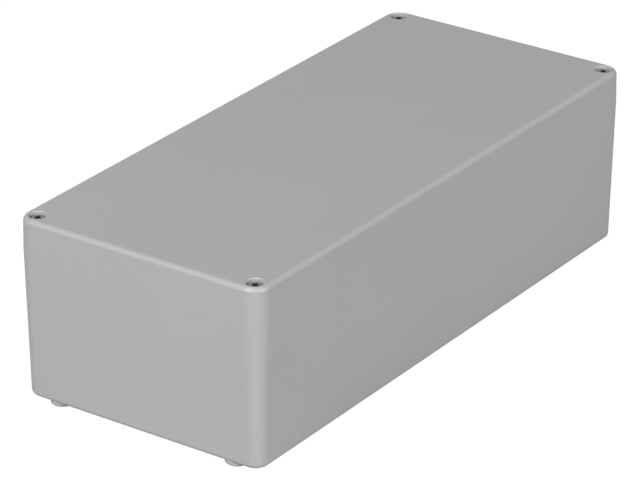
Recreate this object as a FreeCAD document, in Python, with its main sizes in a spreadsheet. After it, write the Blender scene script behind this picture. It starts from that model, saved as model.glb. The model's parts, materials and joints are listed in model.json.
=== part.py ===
import FreeCAD, Part
import math
import os
import re
import Sketcher
from FreeCAD import Vector

# Moulded equipment box with a flat screwed lid, in millimetres.
# The box stands on its four feet at z = 0, with its length along X and its width along Y.
# Lengths and widths are taken at the parting line between base and lid, where the box is widest.

SIZES = {
    # outer form
    "case_length": 250.0,
    "case_width": 110.5,
    "base_depth": 60.0,
    "lid_depth": 13.5,
    "corner_radius": 7.0,
    "top_edge_radius": 2.0,
    "bottom_edge_radius": 2.0,
    "base_draft": 1.3,
    "lid_draft": 0.8,
    # walls
    "wall_thick": 3.5,
    "floor_thick": 3.0,
    "lid_thick": 3.0,
    "inner_draft": 0.8,
    "inner_corner_radius": 3.0,
    "floor_edge_radius": 1.5,
    # feet and the holes through them for fixing the box to a wall
    "foot_height": 1.5,
    "foot_radius": 4.5,
    "foot_chamfer": 0.4,
    "foot_end_offset": 6.3,
    "foot_side_offset": 14.9,
    "wall_hole_radius": 2.25,
    "wall_access_radius": 3.5,
    "wall_seat_thick": 4.0,
    # seal between base and lid
    "lid_lip": 1.5,
    "groove_width": 2.1,
    "groove_rib": 1.4,
    "tongue_height": 2.0,
    "tongue_play": 0.35,
    "gasket_thick": 2.0,
    "gasket_play": 0.1,
    "seal_radius": 4.0,
    "seal_notch_radius": 2.5,
    "seal_least_radius": 0.5,
    # lid screws, their sunk seats in the lid and the washers that keep them there
    "screw_offset": 6.0,
    "head_sink": 1.1,
    "head_radius": 3.1,
    "head_height": 2.3,
    "head_chamfer": 0.6,
    "head_play": 0.25,
    "seat_chamfer": 0.4,
    "web_thick": 2.0,
    "shank_radius": 2.0,
    "shank_play": 0.2,
    "screw_reach": 6.5,
    "neck_radius": 1.6,
    "neck_play": 0.05,
    "cross_span": 3.0,
    "cross_slot": 0.8,
    "cross_depth": 1.6,
    "cross_draft": 8.0,
    "washer_thick": 1.0,
    "washer_radius": 3.2,
    "washer_height": 0.5,
    "washer_play": 0.2,
    # brass inserts in the corner posts
    "insert_radius": 2.8,
    "insert_length": 8.0,
    "insert_play": 0.05,
    "insert_sink": 0.2,
    "tip_room": 1.5,
    "core_radius": 2.2,
    "core_floor": 6.0,
    # bosses on the floor for a circuit board or mounting plate
    "boss_end_offset": 25.0,
    "boss_side_offset": 17.25,
    "boss_radius": 3.5,
    "boss_height": 6.0,
    "pilot_radius": 1.25,
    "pilot_depth": 7.0,
}

doc = FreeCAD.newDocument("Enclosure")
sheet = doc.addObject("Spreadsheet::Sheet", "sizes")
for row, (alias, value) in enumerate(SIZES.items(), start=1):
    sheet.set("A%d" % row, alias)
    sheet.set("B%d" % row, str(value))
    sheet.setAlias("B%d" % row, alias)
doc.recompute()


def of(formula):
    """Put the sheet's name before every size that a formula names."""
    return re.sub("[a-z_]+", lambda word: ("sizes." if word[0] in SIZES else "") + word[0], formula)


def value_of(formula):
    return float(sheet.evalExpression(of(formula)))


def minus(formula):
    return "-1 * ( %s )" % formula


# Levels above the ground
GROUND = "0"
UNDERSIDE = "foot_height"
FLOOR = "foot_height + floor_thick"
PARTING = "foot_height + base_depth"
LID_CEILING = "foot_height + base_depth + lid_depth - lid_thick"
LID_TOP = "foot_height + base_depth + lid_depth"
# The screw head rests on a ledge this far below the lid's top and above the parting line
SEAT_DEPTH = "( head_sink + head_height )"
SEAT_HEIGHT = "( lid_depth - head_sink - head_height )"
# Corner posts, measured in from the end and from the side, as far as the seal's groove
SCREW_REACH_IN = "screw_offset + washer_radius + washer_play"
FOOT_REACH_IN = "foot_end_offset + wall_access_radius"
POST_X = "( max(%s; %s) + lid_lip )" % (SCREW_REACH_IN, FOOT_REACH_IN)
POST_Y = "( foot_side_offset + wall_access_radius + lid_lip )"
CORNERS = [(-1, -1), (1, -1), (1, 1), (-1, 1)]
NEARLY_ZERO = 1e-9
EDGE_LEVEL_SLACK = 1e-4
START, END, CENTRE = 1, 2, 3


def turn(before, here, after):
    """Positive where an outline turns left at a corner, negative where it turns right."""
    into = (here[0] - before[0], here[1] - before[1])
    out = (after[0] - here[0], after[1] - here[1])
    return into[0] * out[1] - into[1] * out[0]


def fix_size(sketch, rule, formula):
    """Add a measured rule to a sketch and tie its measure to a formula."""
    index = sketch.addConstraint(rule)
    sketch.setExpression("Constraints[%d]" % index, of(formula))


def fix_place(sketch, item, point, axis, formula):
    """Tie a point of a line or circle to its distance from the sketch's origin along one axis."""
    value = value_of(formula)
    if abs(value) < NEARLY_ZERO:
        upright_axis, level_axis = -2, -1
        through = upright_axis if axis == "X" else level_axis
        sketch.addConstraint(Sketcher.Constraint("PointOnObject", item, point, through))
    elif value > 0:
        fix_size(sketch, Sketcher.Constraint("Distance" + axis, -1, 1, item, point, value), formula)
    else:
        rule = Sketcher.Constraint("Distance" + axis, item, point, -1, 1, -value)
        fix_size(sketch, rule, minus(formula))


def add_loop(sketch, corners):
    """Add a closed outline of straight lines, with an arc at each corner that has a radius.

    Each corner is (x, y, radius) as formulas, and lines beside a rounded corner run along X or Y.
    """
    count = len(corners)
    points = [(value_of(x), value_of(y)) for x, y, radius in corners]
    radii = [value_of(radius) if radius else 0.0 for x, y, radius in corners]
    ends = []
    for i in range(count):
        start, stop = points[i], points[(i + 1) % count]
        span = math.hypot(stop[0] - start[0], stop[1] - start[1])
        along = ((stop[0] - start[0]) / span, (stop[1] - start[1]) / span)
        first, last = radii[i], span - radii[(i + 1) % count]
        ends.append((
            Vector(start[0] + along[0] * first, start[1] + along[1] * first, 0),
            Vector(start[0] + along[0] * last, start[1] + along[1] * last, 0),
        ))
    lines = [sketch.addGeometry(Part.LineSegment(a, b), False) for a, b in ends]
    level = [abs(points[i][1] - points[(i + 1) % count][1]) < NEARLY_ZERO for i in range(count)]
    upright = [abs(points[i][0] - points[(i + 1) % count][0]) < NEARLY_ZERO for i in range(count)]
    for i in range(count):
        x, y, radius = corners[i]
        before, here = lines[i - 1], lines[i]
        if radius:
            left = turn(points[i - 1], points[i], points[(i + 1) % count]) > 0
            entry, leave = ends[i - 1][1], ends[i][0]
            centre = entry + leave - Vector(points[i][0], points[i][1], 0)
            begin, finish = (entry, leave) if left else (leave, entry)
            angles = [math.atan2(p.y - centre.y, p.x - centre.x) for p in (begin, finish)]
            circle = Part.Circle(centre, Vector(0, 0, 1), radii[i])
            arc = sketch.addGeometry(Part.ArcOfCircle(circle, angles[0], angles[1]), False)
            arrive, depart = (START, END) if left else (END, START)
            sketch.addConstraint(Sketcher.Constraint("Tangent", before, END, arc, arrive))
            sketch.addConstraint(Sketcher.Constraint("Tangent", arc, depart, here, START))
            fix_size(sketch, Sketcher.Constraint("Radius", arc, radii[i]), radius)
        else:
            sketch.addConstraint(Sketcher.Constraint("Coincident", before, END, here, START))
        if level[i]:
            sketch.addConstraint(Sketcher.Constraint("Horizontal", here))
        if upright[i]:
            sketch.addConstraint(Sketcher.Constraint("Vertical", here))
        if upright[i] or not (radius or upright[i - 1]):
            fix_place(sketch, here, START, "X", x)
        if level[i] or not (radius or level[i - 1]):
            fix_place(sketch, here, START, "Y", y)


def mirrored_corners(quarter):
    """Repeat the corners of the quarter at +X +Y in the other three, in order round the outline."""
    loop = []
    for sx, sy in [(1, 1), (-1, 1), (-1, -1), (1, -1)]:
        turned = [
            (x if sx > 0 else minus(x), y if sy > 0 else minus(y), radius)
            for x, y, radius in quarter
        ]
        loop += turned if sx == sy else turned[::-1]
    return loop


def case_outline():
    """The rounded rectangle of the box at its parting line."""
    return mirrored_corners([("case_length / 2", "case_width / 2", "corner_radius")])


def seal_outline(inset):
    """The line inside the lip and round the corner posts, moved inwards by an inset."""
    end = "case_length / 2 - lid_lip - ( %s )" % inset
    side = "case_width / 2 - lid_lip - ( %s )" % inset
    post_x = "case_length / 2 - %s - ( %s )" % (POST_X, inset)
    post_y = "case_width / 2 - %s - ( %s )" % (POST_Y, inset)
    outer = "max(seal_radius - ( %s ); seal_least_radius)" % inset
    inner = "seal_notch_radius + ( %s )" % inset
    return mirrored_corners([(end, post_y, outer), (post_x, post_y, inner), (post_x, side, outer)])


def unrounded(corners):
    """The same outline with sharp corners, for walls that are rounded once they lean."""
    return [(x, y, None) for x, y, radius in corners]


def new_body(name):
    body = doc.addObject("PartDesign::Body", name)
    body.Label = name
    return body


def new_sketch(body, name, role, offsets):
    """A sketch on one of the body's own planes, moved by formulas along that plane's axes."""
    sketch = body.newObject("Sketcher::SketchObject", name)
    plane = [p for p in body.Origin.OriginFeatures if p.Role == role][0]
    sketch.AttachmentSupport = [(plane, "")]
    sketch.MapMode = "FlatFace"
    for axis, formula in offsets.items():
        sketch.setExpression("AttachmentOffset.Base." + axis, of(formula))
    return sketch


def level_sketch(body, name, height, loops):
    sketch = new_sketch(body, name, "XY_Plane", {"z": height})
    for corners in loops:
        add_loop(sketch, corners)
    return sketch


def circle_sketch(body, name, height, places, radius):
    """Equal circles in a level sketch, each place being formulas for its distance along X and Y."""
    sketch = new_sketch(body, name, "XY_Plane", {"z": height})
    for x, y in places:
        centre = Vector(value_of(x), value_of(y), 0)
        circle = sketch.addGeometry(Part.Circle(centre, Vector(0, 0, 1), value_of(radius)), False)
        fix_place(sketch, circle, CENTRE, "X", x)
        fix_place(sketch, circle, CENTRE, "Y", y)
        fix_size(sketch, Sketcher.Constraint("Radius", circle, value_of(radius)), radius)
    return sketch


def extrude(body, kind, name, sketch, length, down=False, draft=None):
    """Add or cut a straight form from a level outline, upwards unless down is set.

    With a draft, the form narrows as it leaves the outline.
    """
    feature = body.newObject("PartDesign::" + kind, name)
    feature.Profile = sketch
    feature.setExpression("Length", of(length))
    feature.Reversed = down if kind == "Pad" else not down
    if draft:
        feature.setExpression("TaperAngle", of(minus(draft)))
    doc.recompute()
    return feature


def ease_edges(body, kind, name, base, height, size):
    """Round or chamfer each edge of the last feature that lies flat at one height."""
    level = value_of(height)
    names = []
    for number, edge in enumerate(base.Shape.Edges, start=1):
        box = edge.BoundBox
        if max(abs(box.ZMin - level), abs(box.ZMax - level)) < EDGE_LEVEL_SLACK:
            names.append("Edge%d" % number)
    eased = body.newObject("PartDesign::" + kind, name)
    eased.Base = (base, names)
    eased.setExpression("Radius" if kind == "Fillet" else "Size", of(size))
    doc.recompute()
    return eased


def round_corners(body, name, base, low, high, radius):
    """Round each edge of the last feature that runs from one level up to another."""
    levels = (value_of(low), value_of(high))
    names = []
    for number, edge in enumerate(base.Shape.Edges, start=1):
        ends = sorted(vertex.Point.z for vertex in edge.Vertexes)
        if len(ends) == 2 and max(abs(a - b) for a, b in zip(ends, levels)) < EDGE_LEVEL_SLACK:
            names.append("Edge%d" % number)
    rounded = body.newObject("PartDesign::Fillet", name)
    rounded.Base = (base, names)
    rounded.setExpression("Radius", of(radius))
    doc.recompute()
    return rounded


def revolve(body, kind, name, sketch):
    feature = body.newObject("PartDesign::" + kind, name)
    feature.Profile = sketch
    feature.ReferenceAxis = (sketch, ["V_Axis"])
    feature.Angle = 360
    doc.recompute()
    return feature


def at_corner(end_offset, side_offset, sx, sy):
    """Formulas for the place of something set in from an end and a side of the box."""
    return (
        "%d * ( case_length / 2 - %s )" % (sx, end_offset),
        "%d * ( case_width / 2 - %s )" % (sy, side_offset),
    )


def turned_cuts(body, name, end_offset, side_offset, height, profile):
    """Cut the same turned profile round an upright axis at each of the four corners."""
    for number, (sx, sy) in enumerate(CORNERS, start=1):
        x, y = at_corner(end_offset, side_offset, sx, sy)
        offsets = {"x": x, "y": height, "z": minus(y)}
        sketch = new_sketch(body, "%s_profile_%d" % (name, number), "XZ_Plane", offsets)
        add_loop(sketch, profile)
        revolve(body, "Groove", "%s_%d" % (name, number), sketch)


def turned_body(name, x, y, height, profile):
    """A body turned round its own upright axis and placed in the box."""
    body = new_body(name)
    sketch = new_sketch(body, name + "_profile", "XZ_Plane", {})
    add_loop(sketch, profile)
    revolve(body, "Revolution", name + "_turned", sketch)
    for axis, formula in (("x", x), ("y", y), ("z", height)):
        body.setExpression("Placement.Base." + axis, of(formula))
    return body


def make_base():
    """The moulded box: drafted walls, hollow feet, corner posts, seal tongue and floor bosses."""
    body = new_body("base_shell")
    outline = level_sketch(body, "base_outline", PARTING, [case_outline()])
    block = extrude(body, "Pad", "base_block", outline, "base_depth", True, "base_draft")
    ease_edges(body, "Fillet", "base_bottom_edge", block, UNDERSIDE, "bottom_edge_radius")
    places = [at_corner("foot_end_offset", "foot_side_offset", sx, sy) for sx, sy in CORNERS]
    discs = circle_sketch(body, "foot_discs", GROUND, places, "foot_radius")
    feet = extrude(body, "Pad", "feet", discs, FLOOR)
    ease_edges(body, "Chamfer", "foot_edges", feet, GROUND, "foot_chamfer")

    opening = [unrounded(seal_outline("wall_thick - lid_lip"))]
    mouth = level_sketch(body, "cavity_mouth", PARTING, opening)
    cavity = extrude(body, "Pocket", "cavity", mouth, "base_depth - floor_thick", True, "inner_draft")
    walls = round_corners(body, "cavity_corners", cavity, FLOOR, PARTING, "inner_corner_radius")
    ease_edges(body, "Fillet", "cavity_floor_edge", walls, FLOOR, "floor_edge_radius")

    tongue_loops = [seal_outline("tongue_play"), seal_outline("groove_width - tongue_play")]
    ring = level_sketch(body, "tongue_ring", PARTING, tongue_loops)
    extrude(body, "Pad", "tongue", ring, "tongue_height")

    rows = [(sx, sy) for sx in (-1, 0, 1) for sy in (-1, 1)]
    places = [at_corner("boss_end_offset", "boss_side_offset", sx, sy) for sx, sy in rows]
    pillars = circle_sketch(body, "boss_circles", FLOOR, places, "boss_radius")
    extrude(body, "Pad", "bosses", pillars, "boss_height")
    pilots = circle_sketch(body, "pilot_circles", FLOOR + " + boss_height", places, "pilot_radius")
    extrude(body, "Pocket", "pilots", pilots, "pilot_depth", True)

    depth = "insert_sink + insert_length + tip_room"
    bottom = minus("base_depth - floor_thick - core_floor")
    turned_cuts(body, "insert_bore", "screw_offset", "screw_offset", PARTING, [
        ("0", bottom, None),
        ("core_radius", bottom, None),
        ("core_radius", minus(depth), None),
        ("insert_radius", minus(depth), None),
        ("insert_radius", "tongue_height", None),
        ("0", "tongue_height", None),
    ])
    turned_cuts(body, "wall_bore", "foot_end_offset", "foot_side_offset", UNDERSIDE, [
        ("0", minus("2 * foot_height"), None),
        ("wall_hole_radius", minus("2 * foot_height"), None),
        ("wall_hole_radius", "wall_seat_thick", None),
        ("wall_access_radius", "wall_seat_thick", None),
        ("wall_access_radius", "base_depth + tongue_height", None),
        ("0", "base_depth + tongue_height", None),
    ])
    return body


def make_lid():
    """The moulded lid: sunk screw seats above, gasket groove and washer pockets below."""
    body = new_body("lid")
    outline = level_sketch(body, "lid_outline", PARTING, [unrounded(case_outline())])
    block = extrude(body, "Pad", "lid_block", outline, "lid_depth", False, "lid_draft")
    walls = round_corners(body, "lid_corners", block, PARTING, LID_TOP, "corner_radius")
    ease_edges(body, "Fillet", "lid_top_edge", walls, LID_TOP, "top_edge_radius")
    opening = [unrounded(seal_outline("groove_width + groove_rib"))]
    mouth = level_sketch(body, "lid_hollow_mouth", PARTING, opening)
    hollow = extrude(body, "Pocket", "lid_hollow", mouth, "lid_depth - lid_thick", False, "inner_draft")
    round_corners(body, "lid_hollow_corners", hollow, PARTING, LID_CEILING, "inner_corner_radius")
    loops = [seal_outline("0"), seal_outline("groove_width")]
    groove = level_sketch(body, "groove_ring", PARTING, loops)
    extrude(body, "Pocket", "gasket_groove", groove, "tongue_height + gasket_thick")

    hole = "shank_radius + shank_play"
    seat = "head_radius + head_play"
    pocket = "washer_radius + washer_play"
    below = minus("lid_depth + head_sink")
    web_under = minus(SEAT_DEPTH + " + web_thick")
    turned_cuts(body, "screw_seat", "screw_offset", "screw_offset", LID_TOP, [
        ("0", below, None),
        (pocket, below, None),
        (pocket, web_under, None),
        (hole, web_under, None),
        (hole, minus(SEAT_DEPTH), None),
        (seat, minus(SEAT_DEPTH), None),
        (seat, minus("seat_chamfer"), None),
        (seat + " + seat_chamfer", "0", None),
        (seat + " + seat_chamfer", "head_sink", None),
        ("0", "head_sink", None),
    ])
    return body


def make_gasket():
    """The soft strip at the root of the lid's groove, resting on the base's tongue."""
    body = new_body("lid_gasket")
    loops = [seal_outline("gasket_play"), seal_outline("groove_width - gasket_play")]
    ring = level_sketch(body, "gasket_ring", PARTING + " + tongue_height", loops)
    extrude(body, "Pad", "gasket_strip", ring, "gasket_thick")
    return body


def make_screw(number, x, y):
    """A lid screw with a cross recess and a neck for its washer, measured down from under its head."""
    neck_low = minus(SEAT_HEIGHT + " - washer_height + neck_play")
    neck_high = minus(SEAT_HEIGHT + " - washer_height - washer_thick - neck_play")
    tip = minus(SEAT_HEIGHT + " + screw_reach")
    body = turned_body("lid_screw_%d" % number, x, y, "%s - %s" % (LID_TOP, SEAT_DEPTH), [
        ("0", tip, None),
        ("shank_radius", tip, None),
        ("shank_radius", neck_low, None),
        ("neck_radius", neck_low, None),
        ("neck_radius", neck_high, None),
        ("shank_radius", neck_high, None),
        ("shank_radius", "0", None),
        ("head_radius", "0", None),
        ("head_radius", "head_height - head_chamfer", None),
        ("head_radius - head_chamfer", "head_height", None),
        ("0", "head_height", None),
    ])
    arm = "cross_span / 2"
    half = "cross_slot / 2"
    cross = mirrored_corners([(arm, half, None), (half, half, None), (half, arm, None)])
    recess = level_sketch(body, "cross_%d" % number, "head_height", [cross])
    extrude(body, "Pocket", "cross_recess_%d" % number, recess, "cross_depth", True, "cross_draft")
    return body


def make_washer(number, x, y):
    """The washer that sits in the screw's neck and stops it from falling out of the lid."""
    inner = "neck_radius + neck_play"
    return turned_body("screw_retainer_%d" % number, x, y, PARTING + " + washer_height", [
        (inner, "0", None),
        ("washer_radius", "0", None),
        ("washer_radius", "washer_thick", None),
        (inner, "washer_thick", None),
    ])


def make_insert(number, x, y):
    """A brass insert, measured down from its upper end."""
    inner = "shank_radius + insert_play"
    return turned_body("thread_insert_%d" % number, x, y, PARTING + " - insert_sink", [
        (inner, minus("insert_length"), None),
        ("insert_radius", minus("insert_length"), None),
        ("insert_radius", "0", None),
        (inner, "0", None),
    ])


pieces = [make_base(), make_lid(), make_gasket()]
for corner, (sign_x, sign_y) in enumerate(CORNERS, start=1):
    place_x, place_y = at_corner("screw_offset", "screw_offset", sign_x, sign_y)
    pieces.append(make_screw(corner, place_x, place_y))
    pieces.append(make_washer(corner, place_x, place_y))
    pieces.append(make_insert(corner, place_x, place_y))
doc.recompute()

for item in doc.Objects:
    if "Invalid" in item.State or "Error" in item.State:
        raise RuntimeError("%s could not be built" % item.Name)
for piece in pieces:
    if piece.Shape.isNull() or not piece.Shape.isValid() or len(piece.Shape.Solids) != 1:
        raise RuntimeError("%s is not one sound solid" % piece.Label)

os.makedirs("parts", exist_ok=True)
for piece in pieces:
    piece.Shape.exportStep("parts/%s.step" % piece.Label)
    box = piece.Shape.BoundBox
    print("%-18s %9.1f mm3  z %6.2f to %6.2f" % (piece.Label, piece.Shape.Volume, box.ZMin, box.ZMax))
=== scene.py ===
import json
import math
import bmesh
import bpy
from mathutils import Matrix, Vector


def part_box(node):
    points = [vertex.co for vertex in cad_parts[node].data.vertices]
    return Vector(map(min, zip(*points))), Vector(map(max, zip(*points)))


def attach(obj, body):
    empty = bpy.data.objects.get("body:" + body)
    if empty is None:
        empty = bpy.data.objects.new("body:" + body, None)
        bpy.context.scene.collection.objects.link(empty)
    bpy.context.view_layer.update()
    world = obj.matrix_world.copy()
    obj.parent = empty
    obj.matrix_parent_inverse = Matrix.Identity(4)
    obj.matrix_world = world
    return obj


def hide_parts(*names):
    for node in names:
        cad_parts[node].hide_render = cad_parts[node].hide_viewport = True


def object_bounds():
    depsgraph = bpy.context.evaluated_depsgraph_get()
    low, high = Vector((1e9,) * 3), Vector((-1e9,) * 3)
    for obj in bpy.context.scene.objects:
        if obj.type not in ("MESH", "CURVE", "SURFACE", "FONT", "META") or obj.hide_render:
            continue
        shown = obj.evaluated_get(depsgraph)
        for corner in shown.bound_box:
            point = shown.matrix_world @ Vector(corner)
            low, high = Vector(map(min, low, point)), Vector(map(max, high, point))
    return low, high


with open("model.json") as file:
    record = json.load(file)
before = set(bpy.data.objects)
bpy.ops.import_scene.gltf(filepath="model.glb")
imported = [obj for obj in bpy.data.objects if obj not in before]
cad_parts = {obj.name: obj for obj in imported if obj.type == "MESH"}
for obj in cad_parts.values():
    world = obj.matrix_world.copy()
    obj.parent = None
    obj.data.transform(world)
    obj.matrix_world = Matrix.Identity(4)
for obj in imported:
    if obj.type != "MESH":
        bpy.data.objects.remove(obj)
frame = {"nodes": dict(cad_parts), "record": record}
cadBox = [list(corner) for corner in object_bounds()]
nodes = frame["nodes"]
bodyOf = {node: body for body, members in frame["record"]["behaviour"]["bodies"].items() for node in members}
weldGap = 1e-6      # points nearer to each other than this, in metres, are one point
print("frame loaded with", len(nodes), "pieces")


# Smooth shading, broken where two faces meet at more than the limit in degrees
def sharpen(bm, limit):
    for face in bm.faces:
        face.smooth = True
    for edge in bm.edges:
        if len(edge.link_faces) == 2:
            edge.smooth = edge.calc_face_angle(0) < math.radians(limit)


# Make the mesh an object that rides with, and stands for, one solid of the frame
def finishPiece(bm, name, material, node, sharpAngle):
    sharpen(bm, sharpAngle)
    mesh = bpy.data.meshes.new(name)
    bm.to_mesh(mesh)
    bm.free()
    mesh.materials.append(material)
    piece = bpy.data.objects.new(name, mesh)
    bpy.context.scene.collection.objects.link(piece)
    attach(piece, bodyOf[node])
    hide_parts(node)
    return piece


# Normals weighted by face area, so flat faces stay flat beside their rounded edges
def softShading(piece):
    weighted = piece.modifiers.new("flatFaces", "WEIGHTED_NORMAL")
    weighted.keep_sharp = True
    weighted.weight = 100


def bevelEdges(bm, edges, width, segments):
    if edges:
        bmesh.ops.bevel(bm, geom=edges, offset=width, offset_type="OFFSET", segments=segments,
                        profile=0.5, affect="EDGES", clamp_overlap=True, material=-1)
        bmesh.ops.remove_doubles(bm, verts=bm.verts[:], dist=weldGap)


# Spin a profile of (radius, height) points once round the Z axis
def turnProfile(bm, points, steps):
    row = [bm.verts.new((radius, 0, height)) for radius, height in points]
    edges = [bm.edges.new((row[i], row[i + 1])) for i in range(len(row) - 1)]
    bmesh.ops.spin(bm, geom=row + edges, cent=(0, 0, 0), axis=(0, 0, 1), dvec=(0, 0, 0),
                   angle=2 * math.pi, steps=steps, use_merge=True, use_duplicate=False)
    bmesh.ops.remove_doubles(bm, verts=bm.verts[:], dist=weldGap)


# Open edges that lie on a circle of that radius at that height
def boundaryLoop(bm, height, radius, slack=2e-5):
    found = []
    for edge in bm.edges:
        if edge.is_boundary:
            middle = (edge.verts[0].co + edge.verts[1].co) / 2
            if abs(middle.z - height) < slack and abs(edge.verts[0].co.xy.length - radius) < slack:
                found.append(edge)
    return found


# Wind a small closed profile of (radius, height) points round the Z axis
def helix(bm, points, pitch, turns, steps, start):
    ring = [bm.verts.new((radius, 0, start + height)) for radius, height in points]
    face = bm.faces.new(ring)
    bmesh.ops.spin(bm, geom=[face] + face.edges[:] + ring, cent=(0, 0, 0), axis=(0, 0, 1),
                   dvec=(0, 0, pitch / steps), angle=2 * math.pi * turns, steps=turns * steps,
                   use_merge=False, use_duplicate=False)


# The upright line through the middle of a box, where a turned piece has its axis
def uprightAxis(low, high):
    return Vector(((low.x + high.x) / 2, (low.y + high.y) / 2, 0))


# Turn all faces outwards and carry the piece from the Z axis to its own
def setOnAxis(bm, axis):
    bmesh.ops.recalc_face_normals(bm, faces=bm.faces[:])
    bmesh.ops.translate(bm, verts=bm.verts[:], vec=axis)


# Store each point's place measured from the piece's own upright axis, in centimetres
def keepAxisUv(bm, axis):
    centimetres = 100
    layer = bm.loops.layers.uv.new("fromAxis")
    for face in bm.faces:
        for loop in face.loops:
            offset = (loop.vert.co - axis) * centimetres
            loop[layer].uv = (offset.x, offset.y)


# Shader nodes and groups

def addGroup(name, inputs, outputs):
    group = bpy.data.node_groups.new(name, "ShaderNodeTree")
    for label, value in inputs:
        socket = group.interface.new_socket(label, in_out="INPUT", socket_type="NodeSocketFloat")
        socket.default_value = value
    group.interface.new_socket("Vector", in_out="INPUT", socket_type="NodeSocketVector")
    for label in outputs:
        group.interface.new_socket(label, in_out="OUTPUT", socket_type="NodeSocketFloat")
    entry = group.nodes.new("NodeGroupInput")
    leave = group.nodes.new("NodeGroupOutput")
    return group, entry, leave


def addNode(tree, kind, **settings):
    node = tree.nodes.new("ShaderNode" + kind)
    for key, value in settings.items():
        setattr(node, key, value)
    return node


def noise(tree, vector, scale, detail, roughness=0.5):
    node = addNode(tree, "TexNoise")
    node.inputs["Scale"].default_value = scale
    node.inputs["Detail"].default_value = detail
    node.inputs["Roughness"].default_value = roughness
    tree.links.new(vector, node.inputs["Vector"])
    return node.outputs["Fac"]


def mapRange(tree, value, low, high, toLow, toHigh):
    node = addNode(tree, "MapRange")
    for label, number in (("From Min", low), ("From Max", high), ("To Min", toLow), ("To Max", toHigh)):
        node.inputs[label].default_value = number
    tree.links.new(value, node.inputs["Value"])
    return node.outputs["Result"]


def maths(tree, operation, first, second=None):
    node = addNode(tree, "Math", operation=operation)
    for index, value in enumerate((first, second)):
        if isinstance(value, (int, float)):
            node.inputs[index].default_value = value
        elif value is not None:
            tree.links.new(value, node.inputs[index])
    return node.outputs["Value"]


skinPattern = {
    "unitsPerMetre": 1000.0,    # grain sizes are in millimetres
    "fineDetail": 2.0,
    "pitScale": 0.8,            # the pits' scale against the fine grain's
    "fineHeight": 0.6,
    "pitHeight": 0.5,
    "grainRange": (0.2, 0.9),
    "roughness": (0.34, 0.42),  # from the floors of the pits to the high spots
    "cloudScale": 18.0,
    "cloudDetail": 3.0,
    "cloudRange": (0.3, 0.7),
}


# Fine spark-eroded mould grain with a faint cloudiness, as on satin moulded plastic
def makeSkinGroup():
    group, entry, leave = addGroup("mouldedSkin", [("Grain Size", 0.35), ("Cloud", 0.015)],
                                   ["Shade", "Roughness", "Height"])
    look = skinPattern
    vector = entry.outputs["Vector"]
    size = maths(group, "DIVIDE", look["unitsPerMetre"], entry.outputs["Grain Size"])
    fine = addNode(group, "TexNoise")
    fine.inputs["Detail"].default_value = look["fineDetail"]
    group.links.new(vector, fine.inputs["Vector"])
    group.links.new(size, fine.inputs["Scale"])
    pits = addNode(group, "TexVoronoi", feature="SMOOTH_F1")
    group.links.new(vector, pits.inputs["Vector"])
    group.links.new(maths(group, "MULTIPLY", size, look["pitScale"]), pits.inputs["Scale"])
    grain = maths(group, "ADD", maths(group, "MULTIPLY", fine.outputs["Fac"], look["fineHeight"]),
                  maths(group, "MULTIPLY", pits.outputs["Distance"], look["pitHeight"]))
    broad = noise(group, vector, look["cloudScale"], look["cloudDetail"])
    swing = maths(group, "MULTIPLY", mapRange(group, broad, *look["cloudRange"], -1.0, 1.0),
                  entry.outputs["Cloud"])
    group.links.new(maths(group, "ADD", swing, 1.0), leave.inputs["Shade"])
    rough = mapRange(group, grain, *look["grainRange"], *look["roughness"])
    group.links.new(rough, leave.inputs["Roughness"])
    group.links.new(grain, leave.inputs["Height"])
    return group


turnedPattern = {
    "ringRate": 62.8,           # radians in a centimetre from the axis, for rings a millimetre apart
    "gritScale": 90.0,
    "gritDetail": 4.0,
    "gritRoughness": 0.6,
    "gritHeight": 1.5,          # the scratches' height against the rings'
    "gritRange": (0.3, 0.7),
    "shade": (0.86, 1.1),
    "roughness": (0.26, 0.42),
}


# Rings left by the lathe round the piece's own axis, broken up by fine scratches
def makeTurnedGroup():
    group, entry, leave = addGroup("turnedMetal", [("Ring Size", 0.12)], ["Shade", "Roughness", "Height"])
    look = turnedPattern
    vector = entry.outputs["Vector"]
    length = addNode(group, "VectorMath", operation="LENGTH")
    group.links.new(vector, length.inputs[0])
    rings = maths(group, "DIVIDE", maths(group, "MULTIPLY", length.outputs["Value"], look["ringRate"]),
                  entry.outputs["Ring Size"])
    wave = maths(group, "SINE", rings)
    grit = noise(group, vector, look["gritScale"], look["gritDetail"], look["gritRoughness"])
    height = maths(group, "ADD", wave, maths(group, "MULTIPLY", grit, look["gritHeight"]))
    group.links.new(mapRange(group, grit, *look["gritRange"], *look["shade"]), leave.inputs["Shade"])
    rough = mapRange(group, grit, *look["gritRange"], *look["roughness"])
    group.links.new(rough, leave.inputs["Roughness"])
    group.links.new(height, leave.inputs["Height"])
    return group


mouldedSkin = makeSkinGroup()
turnedMetal = makeTurnedGroup()


# Materials

def newMaterial(name):
    material = bpy.data.materials.new(name)
    material.use_nodes = True
    tree = material.node_tree
    shader = tree.nodes["Principled BSDF"]
    return material, tree, shader


# Base colour times a shade that changes over the surface
def tint(tree, shader, colour, shade):
    mix = addNode(tree, "Mix", data_type="RGBA", blend_type="MULTIPLY")
    mix.inputs["Factor"].default_value = 1.0
    mix.inputs["A"].default_value = (*colour, 1)
    tree.links.new(shade, mix.inputs["B"])
    tree.links.new(mix.outputs["Result"], shader.inputs["Base Color"])


def bump(tree, shader, height, distance, strength):
    node = addNode(tree, "Bump")
    node.inputs["Distance"].default_value = distance
    node.inputs["Strength"].default_value = strength
    tree.links.new(height, node.inputs["Height"])
    tree.links.new(node.outputs["Normal"], shader.inputs["Normal"])


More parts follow.
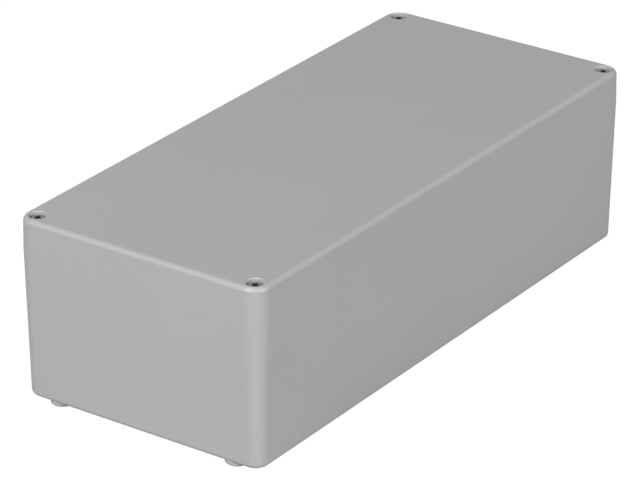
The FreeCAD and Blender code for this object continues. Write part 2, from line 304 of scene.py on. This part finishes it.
# Place a group and let its shade, roughness and height shape the finish
def dressWith(tree, shader, group, vector, values, colour, depth, strength):
    node = addNode(tree, "Group")
    node.node_tree = group
    for label, value in values.items():
        node.inputs[label].default_value = value
    tree.links.new(vector, node.inputs["Vector"])
    tint(tree, shader, colour, node.outputs["Shade"])
    tree.links.new(node.outputs["Roughness"], shader.inputs["Roughness"])
    bump(tree, shader, node.outputs["Height"], depth, strength)


absFinish = {
    "baseColour": (0.396, 0.397, 0.388),
    # the lid's colour is the base's made a touch darker: painted shade that tones down the lid's faces
    "lidColourWithPaintedShade": (0.39, 0.39, 0.381),
    "specular": 0.5,
    "grainSize": 0.4,           # millimetres between the pits of the mould's grain
    "grainDepth": 0.00002,
    "grainStrength": 0.22,
    "cloud": 0.012,
}


def makeAbs(name, colour):
    material, tree, shader = newMaterial(name)
    place = addNode(tree, "TexCoord")
    dressWith(tree, shader, mouldedSkin, place.outputs["Object"],
              {"Grain Size": absFinish["grainSize"], "Cloud": absFinish["cloud"]},
              colour, absFinish["grainDepth"], absFinish["grainStrength"])
    shader.inputs["Specular IOR Level"].default_value = absFinish["specular"]
    return material


metalFinish = {
    "steelColour": (0.36, 0.36, 0.37),
    "steelRings": 0.16,         # millimetres between the lathe's rings
    "brassColour": (0.66, 0.47, 0.2),
    "brassRings": 0.2,
    "ringDepth": 0.000004,
    "ringStrength": 0.5,
}


def makeTurned(name, colour, ringSize):
    material, tree, shader = newMaterial(name)
    place = addNode(tree, "UVMap", uv_map="fromAxis")
    dressWith(tree, shader, turnedMetal, place.outputs["UV"], {"Ring Size": ringSize},
              colour, metalFinish["ringDepth"], metalFinish["ringStrength"])
    shader.inputs["Metallic"].default_value = 1.0
    return material


rubberFinish = {
    "colour": (0.035, 0.035, 0.037),
    "cellScale": 2600.0,
    "cellRange": (0.0, 0.6),
    "cellDepth": 0.00003,
    "cellStrength": 0.5,
    "roughness": (0.75, 0.9),
    "dustScale": 60.0,
    "dustDetail": 4.0,
    "dustRange": (0.3, 0.7),
    "dustShade": (0.8, 1.3),
}


def makeRubber(name):
    look = rubberFinish
    material, tree, shader = newMaterial(name)
    place = addNode(tree, "TexCoord")
    cells = addNode(tree, "TexVoronoi", feature="F1")
    cells.inputs["Scale"].default_value = look["cellScale"]
    tree.links.new(place.outputs["Object"], cells.inputs["Vector"])
    dust = noise(tree, place.outputs["Object"], look["dustScale"], look["dustDetail"])
    tint(tree, shader, look["colour"], mapRange(tree, dust, *look["dustRange"], *look["dustShade"]))
    rough = mapRange(tree, cells.outputs["Distance"], *look["cellRange"], *look["roughness"])
    tree.links.new(rough, shader.inputs["Roughness"])
    bump(tree, shader, cells.outputs["Distance"], look["cellDepth"], look["cellStrength"])
    return material


nylonFinish = {
    "colour": (0.72, 0.71, 0.66),
    "grainSize": 0.25,
    "grainDepth": 0.00002,
    "grainStrength": 0.2,
    "cloud": 0.03,
    "glowThrough": 0.2,         # share of the light that passes under the surface
    "glowDepth": 0.0005,
}


def makeNylon(name):
    material, tree, shader = newMaterial(name)
    place = addNode(tree, "TexCoord")
    dressWith(tree, shader, mouldedSkin, place.outputs["Object"],
              {"Grain Size": nylonFinish["grainSize"], "Cloud": nylonFinish["cloud"]},
              nylonFinish["colour"], nylonFinish["grainDepth"], nylonFinish["grainStrength"])
    shader.inputs["Subsurface Weight"].default_value = nylonFinish["glowThrough"]
    shader.inputs["Subsurface Scale"].default_value = nylonFinish["glowDepth"]
    return material


baseAbs = makeAbs("baseAbs", absFinish["baseColour"])
# The lid gets a darker copy of the base's ABS, as painted shade on its faces
lidAbsWithPaintedShade = makeAbs("lidAbsWithPaintedShade", absFinish["lidColourWithPaintedShade"])
screwSteel = makeTurned("screwSteel", metalFinish["steelColour"], metalFinish["steelRings"])
insertBrass = makeTurned("insertBrass", metalFinish["brassColour"], metalFinish["brassRings"])
sealRubber = makeRubber("sealRubber")
washerNylon = makeNylon("washerNylon")
print("materials made")


# The two mouldings

shellSizes = {
    "partingEase": 0.00018,     # rounding of the edges that meet at the parting line
    "partingSegments": 3,
    "flatAngle": 0.05,          # degrees within which neighbouring triangles are one flat face
    "sharpAngle": 30,
    "levelSlack": 0.000005,     # how near the parting height an edge has to be
    "levelLean": 0.9,           # least upright part of a level face's normal
    "wallLean": 0.3,            # least outward part of an outer wall's normal
    "rimShare": 0.975,          # how far out the outer rim is, against half the box
}


# The solid's own surface as one joined mesh, with its flat faces made whole
def mergedCopy(node):
    bm = bmesh.new()
    bm.from_mesh(nodes[node].data)
    bmesh.ops.remove_doubles(bm, verts=bm.verts[:], dist=weldGap)
    bmesh.ops.dissolve_limit(bm, angle_limit=math.radians(shellSizes["flatAngle"]),
                             verts=bm.verts[:], edges=bm.edges[:])
    return bm


# Edges at one height where an outer wall meets a level face
def outlineEdges(bm, height):
    size = shellSizes
    found = []
    for edge in bm.edges:
        if len(edge.link_faces) == 2 and all(abs(v.co.z - height) < size["levelSlack"] for v in edge.verts):
            middle = (edge.verts[0].co + edge.verts[1].co) / 2
            outwards = middle.xy.normalized()
            level = any(abs(face.normal.z) > size["levelLean"] for face in edge.link_faces)
            wall = any(face.normal.xy.dot(outwards) > size["wallLean"] for face in edge.link_faces)
            reach = max(abs(middle.x) / cadBox[1][0], abs(middle.y) / cadBox[1][1])
            if level and wall and reach > size["rimShare"]:
                found.append(edge)
    return found


def makeShell(node, name, material, parting):
    bm = mergedCopy(node)
    bevelEdges(bm, outlineEdges(bm, parting), shellSizes["partingEase"], shellSizes["partingSegments"])
    softShading(finishPiece(bm, name, material, node, shellSizes["sharpAngle"]))


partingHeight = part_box("lid")[0].z
makeShell("base_shell", "caseBase", baseAbs, partingHeight)
makeShell("lid", "caseLid", lidAbsWithPaintedShade, partingHeight)
print("mouldings made")


# Lid screws

screwSizes = {
    "headHeight": 0.0023,
    "headEase": 0.0001,         # chamfer of the head's lower rim
    "crownDrop": 0.0009,        # how far the rounded head falls from its flat middle to its rim
    "crownAngles": (18, 36, 54, 72, 90),
    "shankRadius": 0.002,
    "rootRadius": 0.00165,
    "neckRadius": 0.0016,
    "neckPlay": 0.00005,        # between the washer and the shoulders of the waisted neck
    "neckSlope": 0.0003,        # from the washer's underside down to the thread's root
    "tipLength": 0.0006,
    "tipTaper": 0.0005,
    "pitch": 0.0007,
    "threadHalf": 0.42,         # half a thread's width at its root, in pitches
    "threadBury": 0.0001,       # how deep its root sits in the core
    "threadStop": 0.0004,       # how far below the washer the thread ends
    "threadSteps": 32,
    "crossRadius": 0.00155,
    "crossHalf": 0.00044,
    "crossTip": 0.8,            # an arm's width at its end against its width at its root
    "crossRim": 0.0021,         # radius of the flat round the recess
    "crossSteps": [(0.0003, 0.94), (0.0009, 0.78), (0.0015, 0.5)],   # depth, width against the rim's
    "crossEase": 0.00005,
    "crossSegments": 2,
    "crossAngle": 40,           # degrees past which an edge of the recess's rim is rounded
    "steps": 64,
    "sharpAngle": 32,
}


# The cross recess's outline, each arm tipped by a short flat
def crossOutline(bm, height):
    arm, half = screwSizes["crossRadius"], screwSizes["crossHalf"]
    tip = half * screwSizes["crossTip"]
    quarter = [Vector((arm, -tip, height)), Vector((arm, tip, height)), Vector((half, half, height))]
    corners = []
    for turn in range(4):
        spin = Matrix.Rotation(turn * math.pi / 2, 3, "Z")
        corners += [bm.verts.new(spin @ point) for point in quarter]
    count = len(corners)
    return [bm.edges.new((corners[i], corners[(i + 1) % count])) for i in range(count)]


# Carry the cross outline down in tapering steps and close its floor
def sinkCross(bm, edges):
    lastDepth, lastSpread = 0.0, 1.0
    for depth, spread in screwSizes["crossSteps"]:
        result = bmesh.ops.extrude_edge_only(bm, edges=edges)
        ring = [item for item in result["geom"] if isinstance(item, bmesh.types.BMVert)]
        edges = [item for item in result["geom"]
                 if isinstance(item, bmesh.types.BMEdge) and all(v in ring for v in item.verts)]
        bmesh.ops.translate(bm, verts=ring, vec=(0, 0, lastDepth - depth))
        bmesh.ops.scale(bm, verts=ring, vec=(spread / lastSpread, spread / lastSpread, 1))
        lastDepth, lastSpread = depth, spread
    bmesh.ops.contextual_create(bm, geom=edges)


def makeScrew(number):
    size = screwSizes
    node = "lid_screw_%d" % number
    low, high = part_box(node)
    washerLow, washerHigh = [corner.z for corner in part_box("screw_retainer_%d" % number)]
    neckLow, neckHigh = washerLow - size["neckPlay"], washerHigh + size["neckPlay"]
    headRadius = (high.x - low.x) / 2
    under = high.z - size["headHeight"]
    crown = headRadius - size["crossRim"]
    tipRadius = size["rootRadius"] - size["tipTaper"]
    axis = uprightAxis(low, high)
    bm = bmesh.new()
    rounded = [(size["crossRim"] + crown * math.sin(a), high.z - size["crownDrop"] * (1 - math.cos(a)))
               for a in [math.radians(angle) for angle in size["crownAngles"]]]
    turnProfile(bm, [
        (size["crossRim"], high.z), *rounded,
        (headRadius, under + size["headEase"]), (headRadius - size["headEase"], under),
        (size["shankRadius"], under), (size["shankRadius"], neckHigh),
        (size["neckRadius"], neckHigh), (size["neckRadius"], neckLow),
        (size["rootRadius"], washerLow - size["neckSlope"]),
        (size["rootRadius"], low.z + size["tipLength"]), (tipRadius, low.z),
    ], size["steps"])
    rim = boundaryLoop(bm, high.z, size["crossRim"])
    bmesh.ops.contextual_create(bm, geom=boundaryLoop(bm, low.z, tipRadius))
    cross = crossOutline(bm, high.z)
    bmesh.ops.bridge_loops(bm, edges=rim + cross)
    sinkCross(bm, cross)
    bmesh.ops.recalc_face_normals(bm, faces=bm.faces[:])
    sharp = [e for e in bm.edges if len(e.link_faces) == 2 and all(v.co.z > high.z - weldGap for v in e.verts)
             and e.calc_face_angle(0) > math.radians(size["crossAngle"])]
    bevelEdges(bm, sharp, size["crossEase"], size["crossSegments"])
    threadTop = washerLow - size["threadStop"]
    turns = int((threadTop - low.z - size["tipLength"]) / size["pitch"])
    root, half = size["rootRadius"] - size["threadBury"], size["pitch"] * size["threadHalf"]
    helix(bm, [(root, -half), (size["shankRadius"], 0), (root, half)],
          size["pitch"], turns, size["threadSteps"], low.z + size["tipLength"] + size["pitch"] / 2)
    setOnAxis(bm, axis)
    keepAxisUv(bm, axis)
    finishPiece(bm, "lidScrew%d" % number, screwSteel, node, size["sharpAngle"])


# Captive washers, brass inserts and the seal

washerSizes = {
    "play": 0.00005,            # round the screw's neck
    "ease": 0.00015,            # rounding of the outer rims
    "easeMiddle": 0.3,          # how far in that rounding's middle point is, against its width
    "steps": 48,
    "sharpAngle": 35,
}


def makeWasher(number):
    size = washerSizes
    node = "screw_retainer_%d" % number
    low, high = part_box(node)
    outer = (high.x - low.x) / 2
    inner = screwSizes["neckRadius"] + size["play"]
    ease = size["ease"]
    middle = ease * size["easeMiddle"]
    bm = bmesh.new()
    turnProfile(bm, [
        (inner, low.z), (outer - ease, low.z), (outer - middle, low.z + middle), (outer, low.z + ease),
        (outer, high.z - ease), (outer - middle, high.z - middle), (outer - ease, high.z), (inner, high.z),
        (inner, low.z),
    ], size["steps"])
    setOnAxis(bm, uprightAxis(low, high))
    finishPiece(bm, "captiveWasher%d" % number, washerNylon, node, size["sharpAngle"])


insertSizes = {
    "chamfer": 0.0003,
    "rimEase": 0.0001,
    "bandShare": 0.275,         # length of each knurled band against the insert's
    "waistDepth": 0.0003,
    "knurls": 36,
    "knurlDepth": 0.00018,
    "knurlSlack": 0.00001,
    "boreGap": 0.00014,         # from the screw's crests to the bore between the insert's own threads
    "threadRadius": 0.00178,    # how far in the insert's threads reach
    "threadHalf": 0.4,          # half their width at the bore, in pitches
    "threadBury": 0.00005,
    "sharpAngle": 25,
}


def makeInsert(number):
    size = insertSizes
    node = "thread_insert_%d" % number
    low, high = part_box(node)
    outer = (high.x - low.x) / 2
    inner = screwSizes["shankRadius"] + size["boreGap"]
    waist = outer - size["waistDepth"]
    ease, rimEase = size["chamfer"], size["rimEase"]
    band = (high.z - low.z) * size["bandShare"]
    axis = uprightAxis(low, high)
    bm = bmesh.new()
    turnProfile(bm, [
        (inner + ease, high.z), (outer - rimEase, high.z), (outer, high.z - rimEase),
        (outer, high.z - band), (waist, high.z - band), (waist, low.z + band), (outer, low.z + band),
        (outer, low.z + rimEase), (outer - rimEase, low.z), (inner + ease, low.z),
        (inner, low.z + ease), (inner, high.z - ease), (inner + ease, high.z),
    ], size["knurls"] * 2)
    bmesh.ops.recalc_face_normals(bm, faces=bm.faces[:])
    for vert in bm.verts:
        angle = math.atan2(vert.co.y, vert.co.x)
        onBand = vert.co.xy.length > outer - size["knurlSlack"]
        if onBand and round(angle / math.pi * size["knurls"]) % 2:
            vert.co.xy = vert.co.xy * ((outer - size["knurlDepth"]) / outer)
    # Its threads run between the screw's, half a pitch off
    pitch = screwSizes["pitch"]
    half = pitch * size["threadHalf"]
    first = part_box("lid_screw_%d" % number)[0].z + screwSizes["tipLength"]
    first -= pitch * math.floor((first - low.z - ease - half) / pitch)
    turns = math.floor((high.z - ease - half - first) / pitch)
    root = inner + size["threadBury"]
    helix(bm, [(root, half), (root, -half), (size["threadRadius"], 0)],
          pitch, turns, screwSizes["threadSteps"], first)
    setOnAxis(bm, axis)
    keepAxisUv(bm, axis)
    finishPiece(bm, "threadInsert%d" % number, insertBrass, node, size["sharpAngle"])


sealSizes = {
    "round": 0.0006,
    "segments": 4,
    "rimAngle": 60,             # degrees past which a level edge is rounded
    "sharpAngle": 40,
}


def makeSeal():
    bm = mergedCopy("lid_gasket")
    rims = [e for e in bm.edges
            if len(e.link_faces) == 2 and e.calc_face_angle(0) > math.radians(sealSizes["rimAngle"])
            and abs(e.verts[0].co.z - e.verts[1].co.z) < weldGap]
    bevelEdges(bm, rims, sealSizes["round"], sealSizes["segments"])
    finishPiece(bm, "lidSeal", sealRubber, "lid_gasket", sealSizes["sharpAngle"])


for number in range(1, 5):      # one of each in every corner
    makeScrew(number)
    makeWasher(number)
    makeInsert(number)
makeSeal()
print("screws, washers, inserts and seal made")


# Floor, lamps and camera

stageSizes = {
    "floorSpan": 12.0,
    "floorDrop": 0.00002,       # how far below the feet the floor lies
    "floorColour": (0.42, 0.42, 0.42),
    "floorWhite": 1.1,          # strength of the plain white
    "floorGlow": 0.9,           # share of the floor that a direct look sees as plain white
    "floorMirrored": 0.1,       # the same share for what reflects in, or shows through, the object
    "skyWhite": 1.0,
    "skyGlow": 1.0,
    "skyMirrored": 0.5,
    "ambient": 0.015,
}
plainWhite = (1, 1, 1, 1)


# How much plain white the camera sees, and how much shows in reflections and through glass
def whiteShare(tree, direct, mirrored):
    path = addNode(tree, "LightPath")
    other = maths(tree, "MAXIMUM", path.outputs["Is Glossy Ray"], path.outputs["Is Transmission Ray"])
    seen = maths(tree, "MULTIPLY", path.outputs["Is Camera Ray"], direct)
    return maths(tree, "MAXIMUM", seen, maths(tree, "MULTIPLY", other, mirrored))


# Show the second shader in place of the first, by the share of white
def blendShaders(tree, share, first, second, output):
    blend = addNode(tree, "MixShader")
    tree.links.new(share, blend.inputs[0])
    tree.links.new(first.outputs[0], blend.inputs[1])
    tree.links.new(second.outputs[0], blend.inputs[2])
    tree.links.new(blend.outputs[0], tree.nodes[output].inputs["Surface"])


def makeFloor():
    bm = bmesh.new()
    bmesh.ops.create_grid(bm, x_segments=4, y_segments=4, size=stageSizes["floorSpan"] / 2)
    bmesh.ops.translate(bm, verts=bm.verts[:], vec=(0, 0, cadBox[0][2] - stageSizes["floorDrop"]))
    mesh = bpy.data.meshes.new("floor")
    bm.to_mesh(mesh)
    bm.free()
    floor = bpy.data.objects.new("floor", mesh)
    bpy.context.scene.collection.objects.link(floor)
    material, tree, shader = newMaterial("paleFloor")
    tree.nodes.remove(shader)
    matt = addNode(tree, "BsdfDiffuse")
    matt.inputs["Color"].default_value = (*stageSizes["floorColour"], 1)
    glow = addNode(tree, "Emission")
    glow.inputs["Color"].default_value = plainWhite
    glow.inputs["Strength"].default_value = stageSizes["floorWhite"]
    share = whiteShare(tree, stageSizes["floorGlow"], stageSizes["floorMirrored"])
    blendShaders(tree, share, matt, glow, "Material Output")
    mesh.materials.append(material)


def makeWorld():
    world = bpy.data.worlds.new("studio")
    bpy.context.scene.world = world
    world.use_nodes = True
    tree = world.node_tree
    sky = tree.nodes["Background"]
    sky.inputs["Color"].default_value = plainWhite
    sky.inputs["Strength"].default_value = stageSizes["ambient"]
    white = addNode(tree, "Background")
    white.inputs["Color"].default_value = plainWhite
    white.inputs["Strength"].default_value = stageSizes["skyWhite"]
    share = whiteShare(tree, stageSizes["skyGlow"], stageSizes["skyMirrored"])
    blendShaders(tree, share, sky, white, "World Output")


lampDistance = 4.0
lampSizes = {                   # direction from the object, width in metres, power in watts
    "leftLamp": {"towards": (-0.76, 0.05, 0.65), "width": 2.2, "power": 178.0, "colour": (0.985, 1.0, 0.99)},
    "frontLamp": {"towards": (-0.10, -0.92, 0.38), "width": 2.2, "power": 93.5, "colour": (1.0, 1.0, 0.99)},
    "sideLamp": {"towards": (0.25, -0.94, 0.22), "width": 1.5, "power": 21.0, "colour": (1.0, 1.0, 0.99)},
    "backLamp": {"towards": (0.45, 0.88, 0.15), "width": 3.0, "power": 14.0, "colour": (1.0, 1.0, 1.0)},
}


def makeLamp(name, towards, width, power, colour):
    light = bpy.data.lights.new(name, "AREA")
    light.shape = "SQUARE"
    light.size = width
    light.energy = power
    light.color = colour
    lamp = bpy.data.objects.new(name, light)
    bpy.context.scene.collection.objects.link(lamp)
    direction = Vector(towards).normalized()
    lamp.location = direction * lampDistance
    lamp.rotation_euler = direction.to_track_quat("Z", "Y").to_euler()


cameraSizes = {                 # angles in degrees, lens and sensor in millimetres
    "azimuth": -55.109,
    "elevation": 25.3035,
    "roll": 0.0615,
    "distance": 1.489755,
    "target": (-0.01044, -0.00153, 0.0365),
    "lens": 217.30,
    "sensor": 36.0,
    "farClip": 50,
}


def makeCamera():
    size = cameraSizes
    azimuth, elevation, roll = [math.radians(size[key]) for key in ("azimuth", "elevation", "roll")]
    back = Vector((math.sin(azimuth) * math.cos(elevation), -math.cos(azimuth) * math.cos(elevation),
                   math.sin(elevation)))
    right = Vector((math.cos(azimuth), math.sin(azimuth), 0))
    up = back.cross(right)
    turned = right * math.cos(roll) + up * math.sin(roll)
    upward = up * math.cos(roll) - right * math.sin(roll)
    data = bpy.data.cameras.new("photoCamera")
    data.sensor_width = size["sensor"]
    data.lens = size["lens"]
    data.clip_end = size["farClip"]
    camera = bpy.data.objects.new("photoCamera", data)
    bpy.context.scene.collection.objects.link(camera)
    place = Vector(size["target"]) + back * size["distance"]
    axes = Matrix((turned, upward, back)).transposed().to_4x4()
    camera.matrix_world = Matrix.Translation(place) @ axes
    bpy.context.scene.camera = camera


makeFloor()
makeWorld()
for lampName, values in lampSizes.items():
    makeLamp(lampName, **values)
makeCamera()
bpy.context.scene.view_settings.view_transform = "Standard"
print("stage, lamps and camera set")
